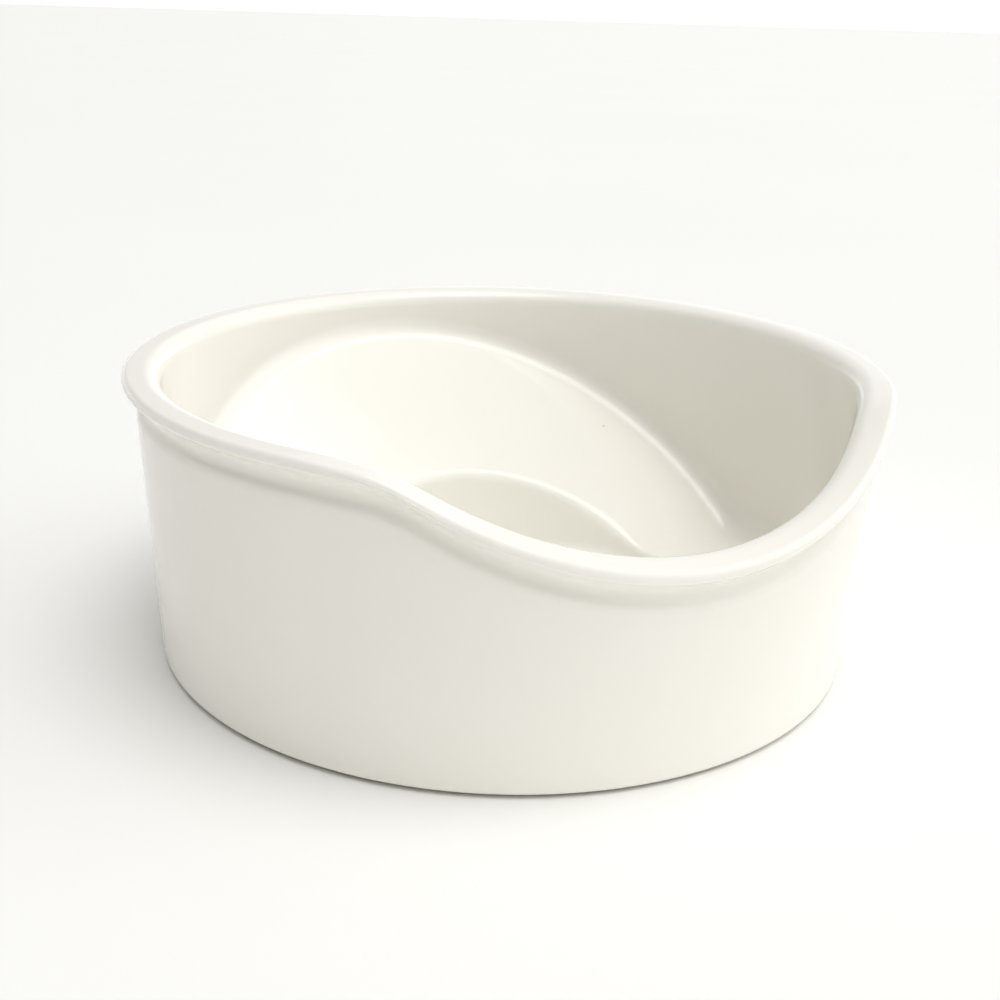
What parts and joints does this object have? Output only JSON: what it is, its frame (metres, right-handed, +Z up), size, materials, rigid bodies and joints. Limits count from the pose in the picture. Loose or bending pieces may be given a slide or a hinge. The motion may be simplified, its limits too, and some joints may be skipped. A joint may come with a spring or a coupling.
{
  "type": "yarn bowl",
  "caption": "Round glazed ceramic bowl with a rolled rim that dips on one side, a sloping floor with a well at its foot, and a soft ring set into its foot.",
  "frame": {"origin": "centre of the surface the bowl stands on", "axes": "+Z up, the dip of the rim faces -Y, the high end of the sloping floor is at +Y, YZ is the mirror plane"},
  "size_m": [0.15, 0.1499, 0.0574],
  "materials": {
    "glazed_ceramic": "glossy warm white glaze",
    "silicone": "matt grey-brown silicone"
  },
  "bodies": {
    "root": {"bowl_body": "glazed_ceramic", "anti_slip_ring": "silicone"}
  },
  "joints": []
}
